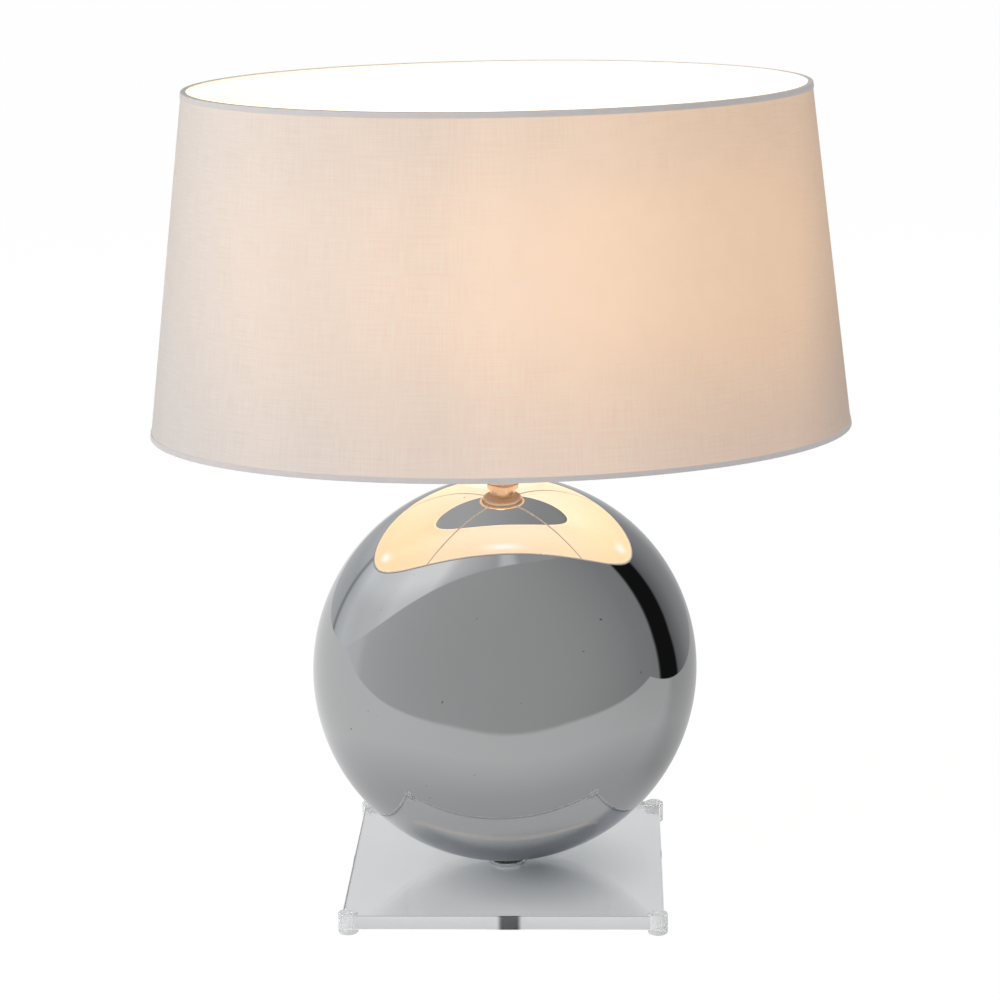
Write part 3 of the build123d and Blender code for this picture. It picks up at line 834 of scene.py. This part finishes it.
# ---- neck
class LAMP_OT_neck(Operator):
    """Model the nickel tube over the glass and the cap on it"""
    bl_idname = "lamp.neck"
    bl_label = "Neck"

    def execute(self, context):
        neck = context.scene.lamp_neck
        # the nickel carries a faint painted glow of the lit shade's light
        finish = polished_metal("polished_nickel", neck.nickel, 0.16, 0.24, painted_glow=0.15)
        radius = (neck_high.x - neck_low.x) / 2
        inside, low, high, top = radius - neck.wall, neck_low.z, neck_high.z, neck_cap_high.z
        edge, rounding = (neck.edge, 3), (neck.cap_rounding, 5)
        tube = rounded_side(radius, low, high, edge, edge) + [(inside, high), (inside, low)]
        hole, spigot = context.scene.lamp_foot.bore, inside - SLIP
        cap = [(spigot, neck_cap_low.z), (spigot, high), (radius - neck.edge, high)]
        cap += rounded_side(radius, high, top, edge, rounding)
        cap += [(hole, top), (hole, neck_cap_low.z)]
        for name, profile in (("neck_tube", tube), ("neck_cap", cap)):
            piece = turned(name + "_nickel", profile, closed=True)
            done(piece, "stand", "polished_nickel", finish, name)
        coat(finish, "top_nut")
        return {"FINISHED"}


# ---- shade
def oval(height, inset):
    """Half width and half depth of the shade at a height, this far inside its outer face."""
    share = (height - shade_low.z) / (shade_top_high.z - shade_low.z)
    wide = shade_high.x + (shade_top_high.x - shade_high.x) * share
    deep = shade_high.y + (shade_top_high.y - shade_high.y) * share
    return wide - inset, deep - inset, height


def wall(name, low, high, inset, thickness, sides, steps=12):
    """One closed layer of the shade's wall."""
    heights = [low + (high - low) * step / steps for step in range(steps + 1)]
    rings = [oval(height, inset) for height in heights]
    rings += [oval(height, inset + thickness) for height in reversed(heights)]
    return ringed(name, rings, sides, closed=True)


def lay_weave(piece):
    """A UV map that runs round the oval from the back seam, a lap in all, and up the wall."""
    wide, deep, _ = oval((shade_low.z + shade_top_high.z) / 2, 0)
    steps = 2000
    along = [0.0]
    for step in range(steps):
        turn = 2 * pi * (step + 0.5) / steps
        along.append(along[-1] + 2 * pi / steps * sqrt((wide * sin(turn)) ** 2
                                                       + (deep * cos(turn)) ** 2))
    once = along[-1]
    along.append(once + along[1])

    def turn_to(point):
        return (atan2(point.y / deep, point.x / wide) - pi / 2) % (2 * pi)

    mesh = piece.data
    weave = mesh.uv_layers.new(name="weave")
    for face in mesh.polygons:
        home = turn_to(face.center)
        for corner in face.loop_indices:
            point = mesh.vertices[mesh.loops[corner].vertex_index].co
            # a face that crosses the seam runs on past it
            turn = turn_to(point)
            turn -= 2 * pi * round((turn - home) / (2 * pi))
            laps, share = divmod(turn / (2 * pi), 1)
            whole, part = divmod(share * steps, 1)
            near, far = along[int(whole):int(whole) + 2]
            weave.data[corner].uv = (laps * once + near + part * (far - near), point.z)
    return piece


class LAMP_OT_shade_cloth(Operator):
    """Model the cloth, the film behind it, the seam and the rolled edges of the shade"""
    bl_idname = "lamp.shade_cloth"
    bl_label = "Shade Cloth"

    def execute(self, context):
        shade = context.scene.lamp_shade
        low, high = shade_low.z + shade.trim, shade_top_high.z - shade.trim
        cloth_finish = shade_cloth(shade)
        cloth = lay_weave(wall("shade_cloth", low, high, shade.trim, shade.fabric, shade.sides))
        done(cloth, "shade", "shade_cloth", cloth_finish, "shade_fabric")

        film = wall("shade_film", low, high, shade.trim + shade.fabric, shade.liner, shade.sides)
        done(film, "shade", "white_liner", liner_film(shade), "shade_liner")

        seam = wall(
            "shade_overlap", shade_low.z + shade.trim_height, shade_top_high.z - shade.trim_height,
            shade.trim - shade.seam, shade.seam, 720,
        )
        for side in (-1, 1):
            trimmed(seam, (side * shade.seam_width / 2, 0, 0), (side, 0, 0))
        trimmed(seam, (0, 0, 0), (0, -1, 0), fill=False)
        lay_weave(seam)
        done(seam, "shade", "shade_cloth", cloth_finish, "shade_seam")

        edging = edging_cloth(shade)
        lip = shade.trim + shade.fabric + shade.liner + shade.gap + shade.wire / 2
        for name, node, edge, up in (
            ("bottom_edging", "bottom_trim", shade_low.z, 1),
            ("top_edging", "top_trim", shade_top_high.z, -1),
        ):
            fold, rise = shade.trim, shade.trim_height
            section = [(0.0, rise), (0.0, fold)]
            section += [(fold * (1 - cos(radians(a))), fold * (1 - sin(radians(a))))
                        for a in (30, 60, 90)]
            section += [(lip, 0.0), (lip, fold), (fold, fold), (fold, rise)]
            rings = [oval(edge + up * above, inset) for inset, above in section]
            trim = ringed(name, rings, shade.sides, closed=True)
            done(trim, "shade", "trim_cloth", edging, node)

        return {"FINISHED"}


class LAMP_OT_shade_frame(Operator):
    """Model the two hoops, the carrier ring and its four arms"""
    bl_idname = "lamp.shade_frame"
    bl_label = "Shade Frame"

    def execute(self, context):
        shade = context.scene.lamp_shade
        # the hoops and the arms carry a painted glow of the lit shade's light, the arms a weaker
        # copy
        finish, arm_finish = (
            moulded(name, shade.powder_coat, 0.35, 0.5, 2400.0, painted_glow, light)
            for name, painted_glow, light in (
                ("white_powder_coat", 0.75, (1.0, 0.90, 0.70)),
                ("white_powder_coat_arm", 0.4, (1.0, 0.85, 0.65)),
            )
        )
        # the carrier ring carries a strong painted orange glow of the light thrown on it
        ring_finish = polished_metal("satin_brass", shade.brass, 0.3, 0.42, painted_glow=1.3)
        radius = shade.wire / 2
        inset = shade.trim + shade.fabric + shade.liner + shade.gap + radius
        for name in ("top_hoop", "bottom_hoop"):
            low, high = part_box(name)
            hoop_height = (low.z + high.z) / 2
            wide, deep, _ = oval(hoop_height, inset)
            rings = [
                (wide + radius * cos(turn), deep + radius * cos(turn),
                 hoop_height + radius * sin(turn))
                for turn in (pi * step / 7 for step in range(14))
            ]
            hoop = ringed(name + "_wire", rings, 192, closed=True)
            done(hoop, "shade", "carrier_steel", finish, name)

        outer = (carrier_high.x - carrier_low.x) / 2
        inner = shade.carrier_bore
        low, high = carrier_low.z, carrier_high.z
        edge = (high - low) / 3
        profile = rounded_side(outer, low, high, (edge, 4), (edge, 4))
        profile += arc((inner + edge, high - edge), edge, 90, 180, 4)
        profile += arc((inner + edge, low + edge), edge, 180, 270, 4)
        ring = turned("carrier_ring_pressed", profile, sides=128, closed=True)
        done(ring, "shade", "carrier_steel", ring_finish, "carrier_ring")

        for side, degrees in (
            ("front_left", 225), ("front_right", 315), ("back_right", 45), ("back_left", 135),
        ):
            outward = Vector((cos(radians(degrees)), sin(radians(degrees)), 0))
            reach = 1 / sqrt((outward.x / wide) ** 2 + (outward.y / deep) ** 2)
            start = outward * (outer - shade.arm_overlap) + Vector((0, 0, (low + high) / 2))
            end = outward * reach + Vector((0, 0, hoop_height))
            straight = (end - start).normalized()
            deselect()
            bpy.ops.curve.primitive_bezier_curve_add(location=(0, 0, 0))
            arm = named("carrier_arm_" + side + "_wire")
            # an arm leaves the ring level and meets the hoop in a straight line
            for point, place, before, after in zip(
                arm.data.splines[0].bezier_points, (start, end),
                (outward * -0.008, straight * -0.020), (outward * 0.010, straight * 0.005),
            ):
                point.handle_left_type = point.handle_right_type = "FREE"
                point.co = place
                point.handle_left, point.handle_right = place + before, place + after
            arm.data.dimensions = "3D"
            arm.data.resolution_u = 24
            arm.data.bevel_depth = shade.arm_wire / 2
            arm.data.bevel_resolution = 4
            arm.data.use_fill_caps = True
            bpy.ops.object.convert(target="MESH")
            enter(arm)
            leave(weld=True)
            done(arm, "shade", "carrier_steel", arm_finish, "carrier_arm_" + side)
        return {"FINISHED"}


# ---- bulb
class LAMP_OT_bulb(Operator):
    """Model the opal envelope, the collar and the screw cap of the bulb"""
    bl_idname = "lamp.bulb"
    bl_label = "Bulb"

    def execute(self, context):
        bulb = context.scene.lamp_bulb
        radius = (envelope_high.x - envelope_low.x) / 2
        low, high = envelope_low.z, envelope_high.z
        profile = [(radius, low), (radius, low + 0.01), (radius, high - bulb.dome)]
        profile += arc((radius - bulb.dome, high - bulb.dome), bulb.dome, 0, 90, 14)[1:]
        envelope = turned("bulb_envelope_opal", profile, fill="NGON")
        done(envelope, "bulb", "opal_glass", opal_glass(bulb), "bulb_envelope", "led_column")

        cap_radius = (bulb_cap_high.x - bulb_cap_low.x) / 2
        bottom, top = bulb_cap_low.z, bulb_cap_high.z
        start, end = top + bulb.collar_edge, low - bulb.collar_lip
        steps = 8
        profile = [(cap_radius, top), (cap_radius, start)]
        profile += [
            (cap_radius + (radius - cap_radius) * (1 - cos(pi * step / steps)) / 2,
             start + (end - start) * step / steps)
            for step in range(1, steps)
        ]
        profile += [(radius, end), (radius, low)]
        collar = turned("bulb_collar_moulded", profile, fill="NGON")
        done(collar, "bulb", "bulb_white",
             moulded("bulb_white", (0.82, 0.81, 0.78), 0.3, 0.45), "bulb_collar")

        point, shoulder, plain = cap_radius - 0.0021, cap_radius - 0.0009, cap_radius - 0.0002
        profile = [(point, bottom), (shoulder, bottom + 0.0008)]
        height = bottom + 0.0016
        while height < top - 0.003:
            wave = (1 + cos(2 * pi * (height - bottom) / bulb.thread_pitch)) / 2
            profile.append((cap_radius - bulb.thread_depth * (1 - wave), height))
            height += bulb.thread_pitch / 10
        profile += [(plain, top - 0.0025), (plain, top)]
        cap = turned("bulb_cap_threaded", profile, fill="NGON")
        done(cap, "bulb", "bulb_cap_metal",
             polished_metal("bulb_cap_metal", (0.72, 0.72, 0.73), 0.18, 0.32), "bulb_cap")
        coat(moulded("black_glass", (0.03, 0.03, 0.03), 0.08, 0.2), "bulb_insulator")
        coat(polished_metal("solder", (0.55, 0.55, 0.55), 0.3, 0.5), "bulb_button")
        return {"FINISHED"}


# ---- finishes of CAD nodes
class LAMP_OT_fittings(Operator):
    """Give the lampholder, shade rings, bushes and fasteners their finishes"""
    bl_idname = "lamp.fittings"
    bl_label = "Fittings"

    def execute(self, context):
        foot = context.scene.lamp_foot
        # the white plastic carries a faint painted glow of the lit shade's light
        coat(moulded("holder_white", (0.80, 0.78, 0.74), 0.25, 0.4, painted_glow=0.06),
             "holder_shell", "lower_shade_ring", "upper_shade_ring")
        # the holder's base: a darker, warmer copy of the white plastic with a strong orange
        # painted glow, painted shade and painted light
        coat(moulded("holder_white_base", (0.74, 0.66, 0.58), 0.25, 0.4, painted_glow=0.34,
                     light=(1.0, 0.42, 0.10)), "holder_base")
        coat(moulded("ceramic", (0.82, 0.81, 0.78), 0.15, 0.3, 900.0), "holder_insert")
        coat(polished_metal("brass", (0.78, 0.6, 0.32), 0.2, 0.35), "centre_contact",
             "screw_sleeve", "terminal_screws")
        coat(polished_metal("zinc_steel", (0.62, 0.62, 0.63), 0.2, 0.4), "threaded_rod",
             "bottom_nut", "bottom_washer", "lock_washer", "lock_screw")
        coat(moulded("black_rubber", (0.035, 0.035, 0.035), 0.5, 0.7, 1200.0),
             "cord_grommet", "rod_bush_top", "rod_bush_bottom")
        coat(clear_silicone(foot.silicone), "bottom_bush", "top_bush")
        return {"FINISHED"}


# ---- stage
class LAMP_OT_stage(Operator):
    """Set up the floor, the soft lights, the world and the camera"""
    bl_idname = "lamp.stage"
    bl_label = "Stage"

    def execute(self, context):
        stage = context.scene.lamp_stage
        deselect()
        bpy.ops.mesh.primitive_plane_add(size=stage.floor, location=(0, 0, 0))
        floor = named("floor")
        painted(floor, floor_finish(stage))
        for name, power, size, place, aim in (
            ("key_light", stage.key_power, 1.0, (-1.6, -0.8, 0.95), (0, 0, 0.35)),
            ("fill_light", stage.fill_power, 1.4, (0.7, -1.9, 1.4), (0, 0, 0.3)),
            ("back_light", stage.back_power, 1.4, (0.3, 1.9, 1.4), (0, 0, 0.3)),
        ):
            deselect()
            look = (Vector(aim) - Vector(place)).to_track_quat("-Z", "Y").to_euler()
            bpy.ops.object.light_add(type="AREA", location=place, rotation=look)
            light = named(name)
            light.data.energy, light.data.shape, light.data.size = power, "DISK", size
            light.visible_glossy = light.visible_transmission = False
        world = bpy.data.worlds.new("studio")
        context.scene.world = world
        studio(world, stage)
        deselect()
        pan, dip, roll = -0.0449, 0.2643, -0.0136
        turn = (Matrix.Rotation(pan, 3, "Z") @ Matrix.Rotation(pi / 2 - dip, 3, "X")
                @ Matrix.Rotation(roll, 3, "Z")).to_euler()
        bpy.ops.object.camera_add(location=(-0.0873, -1.9002, 0.7718), rotation=turn)
        camera = named("camera")
        camera.data.sensor_width = 36.0
        camera.data.lens = stage.focal
        context.scene.camera = camera
        context.scene.view_settings.view_transform = "Standard"
        return {"FINISHED"}


def greys(*stops):
    """Ramp stops from compass angles in degrees and tones; the left of the room is cooler."""
    return [
        (angle / 360 + 0.5, (tone * (1 - cool), tone, tone * (1 + cool), 1.0))
        for angle, tone, cool in stops
    ]


def compass(tree, across, along):
    """Angle of a direction as a share of a turn: 0.5 in front of the lamp, 0.75 at its right."""
    return tree.maths("ARCTAN2", across, along * -1.0) / (2 * pi) + 0.5


def low_walls(tree, angle):
    """Greys of the room at and below eye level, round the compass."""
    return tree.ramp(angle, greys(
        (-180, 0.64, 0.02), (-156, 0.62, 0.03), (-135, 0.52, 0.03), (-123, 0.60, 0.03),
        (-119, 0.33, 0.03), (-115, 0.72, 0.03), (-100, 0.76, 0.03),
        (-72, 0.74, 0.02), (-62, 0.62, 0.01), (-45, 0.58, 0.01), (-14, 0.52, 0.0),
        (0, 0.49, 0.0), (22, 0.41, 0.0), (50, 0.33, 0.01), (69, 0.31, 0.02), (72, 0.01, 0.0),
        (96, 0.01, 0.0), (99, 0.17, 0.03), (120, 0.30, 0.03), (140, 0.36, 0.02),
        (158, 0.50, 0.02), (180, 0.64, 0.02),
    ))


def floor_finish(stage):
    """White to the camera with the lamp's soft shadow; a pale table in a grey room in mirrors."""
    tree, place = new_tree("pale_floor")
    seen, through, mirrored = tree.rays()
    across, along, _ = tree.axes(place)
    grain = tree.noise(place, 3.0, 2.0, 0.5)
    plain = tree.node("BsdfDiffuse", None, {
        "Color": tree.mixed(grain, (0.80, 0.80, 0.81, 1.0), (0.82, 0.82, 0.82, 1.0)),
    })
    # painted shadow of the lamp on the table, centred a little right of the lamp; mirrors and the
    # plate show it
    aside, ahead = across - 0.02, along + 0.004
    near = (aside * aside + ahead * ahead) ** 0.5
    shadow = tree.ramp(near / 0.3, [
        (0.0, (0.15, 0.16, 0.17, 1)), (0.14, (0.41, 0.42, 0.43, 1)),
        (0.26, (0.60, 0.605, 0.61, 1)), (0.4, (0.64, 0.645, 0.65, 1)),
        (0.55, (0.68, 0.68, 0.685, 1)), (0.8, (0.81, 0.81, 0.815, 1)),
        (1.0, (0.89, 0.89, 0.89, 1)),
    ])
    off_table = tree.maths("MAXIMUM", along * -1.0 - stage.table, across - stage.table_right)
    # painted falloff of light: the table darker towards the right, with a painted shadow to the
    # right behind the lamp
    painted_falloff = tree.span(across, -0.35, 0.6, 0.88, 0.66)
    painted_falloff = painted_falloff * (1.0 - 0.2 * tree.span(along, -0.12, 0.0) * tree.span(across, 0.1, 0.2))
    tone = tree.mixed(
        tree.span(off_table, -0.01, 0.01), tree.product(shadow, tree.coloured(painted_falloff)),
        low_walls(tree, compass(tree, across, along)),
    )
    # painted shade: seen in the body and through the plate, the table under the body is painted
    # darker
    bounces = tree.maths("MINIMUM", tree.node("LightPath", result="Glossy Depth"), 1.0)
    under = tree.span(along, -0.058, -0.036) * tree.span(near, 0.08, 0.12, 1.0, 0.0)
    under = under * bounces
    painted_under_shade = tree.coloured(*(1.0 - under * share for share in (0.43, 0.41, 0.38)))
    to_camera = tree.either(0.93, plain, tree.light(WHITE, 1.05))
    to_glass = tree.either(0.95, plain, tree.light(tree.product(shadow, painted_under_shade)))
    bounced = tree.either(mirrored, plain, tree.light(tone))
    both = tree.either(seen, tree.either(through, bounced, to_glass), to_camera)
    tree.node("OutputMaterial", None, {"Surface": both})
    return tree.owner


def studio(world, stage):
    """White behind the lamp, an even grey light, and a studio's greys for reflections."""
    tree = Tree(world)
    across, along, up = tree.axes(tree.node("TexCoord", result="Generated"))
    seen, through, mirrored = tree.rays()
    angle = compass(tree, across, along)
    upper = tree.ramp(angle, greys(
        (-180, 0.64, 0.02), (-150, 0.76, 0.03), (-123, 0.74, 0.03), (-119, 0.36, 0.03),
        (-115, 0.82, 0.03), (-100, 1.03, 0.02), (-84, 0.98, 0.02), (-62, 1.03, 0.01),
        (-50, 1.16, 0.0), (-27, 1.16, 0.0), (-20, 0.85, 0.0), (-6, 0.62, 0.01),
        (-2, 0.55, 0.02), (1, 0.82, 0.02), (5, 0.78, 0.02), (8, 0.50, 0.01),
        (35, 0.47, 0.01), (60, 0.46, 0.02), (69, 0.42, 0.02), (71.5, 0.01, 0.0),
        (94, 0.01, 0.0), (97, 0.12, 0.03), (110, 0.16, 0.03), (120, 0.26, 0.03),
        (147, 0.48, 0.02), (180, 0.64, 0.02),
    ))
    upper = tree.product(upper, tree.coloured(tree.span(up, 0.25, 0.5, 0.80, 1.0)))
    sill = (angle - 0.3056) * 1.885 + 0.087
    walls = tree.mixed(
        tree.span(up - sill, -0.008, 0.012), low_walls(tree, angle), upper
    )
    ceiling = tree.coloured(tree.span(across, -0.3, 0.4, 0.62, 0.42))
    room = tree.light(tree.mixed(tree.span(up, 0.80, 0.90), walls, ceiling),
                        kind="Background")
    even = tree.light((0.97, 0.985, 1.0, 1.0), stage.sky, "Background")
    white = tree.light(WHITE, kind="Background")
    clear = tree.maths("MAXIMUM", seen, through)
    both = tree.either(clear, tree.either(mirrored, even, room), white)
    tree.node("OutputWorld", None, {"Surface": both})


# ---- panel and registration
operators = (
    LAMP_OT_foot_plate, LAMP_OT_feet, LAMP_OT_glass_body, LAMP_OT_neck, LAMP_OT_shade_cloth,
    LAMP_OT_shade_frame, LAMP_OT_bulb, LAMP_OT_fittings, LAMP_OT_stage,
)
settings = {
    "lamp_foot": FootSettings, "lamp_glass": GlassSettings, "lamp_neck": NeckSettings,
    "lamp_shade": ShadeSettings, "lamp_bulb": BulbSettings, "lamp_stage": StageSettings,
}


class LAMP_PT_table_lamp(Panel):
    """Lists the lamp's pieces and their sizes"""
    bl_label = "Table Lamp"
    bl_idname = "LAMP_PT_table_lamp"
    bl_space_type = "VIEW_3D"
    bl_region_type = "UI"
    bl_category = "Table Lamp"

    def draw(self, context):
        column = self.layout.column(align=True)
        for operator in operators:
            column.operator(operator.bl_idname)
        for name, group in settings.items():
            box = self.layout.box()
            box.label(text=group.__doc__)
            for field in group.__annotations__:
                box.prop(getattr(context.scene, name), field)


def register():
    for each in (*settings.values(), *operators, LAMP_PT_table_lamp):
        bpy.utils.register_class(each)
    for name, group in settings.items():
        setattr(bpy.types.Scene, name, PointerProperty(type=group))


def unregister():
    for name in settings:
        delattr(bpy.types.Scene, name)
    for each in (LAMP_PT_table_lamp, *reversed(operators), *settings.values()):
        bpy.utils.unregister_class(each)


def main():
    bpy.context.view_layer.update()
    register()
    for operator in operators:
        group, name = operator.bl_idname.split(".")
        getattr(getattr(bpy.ops, group), name)()


if __name__ == "__main__":
    main()
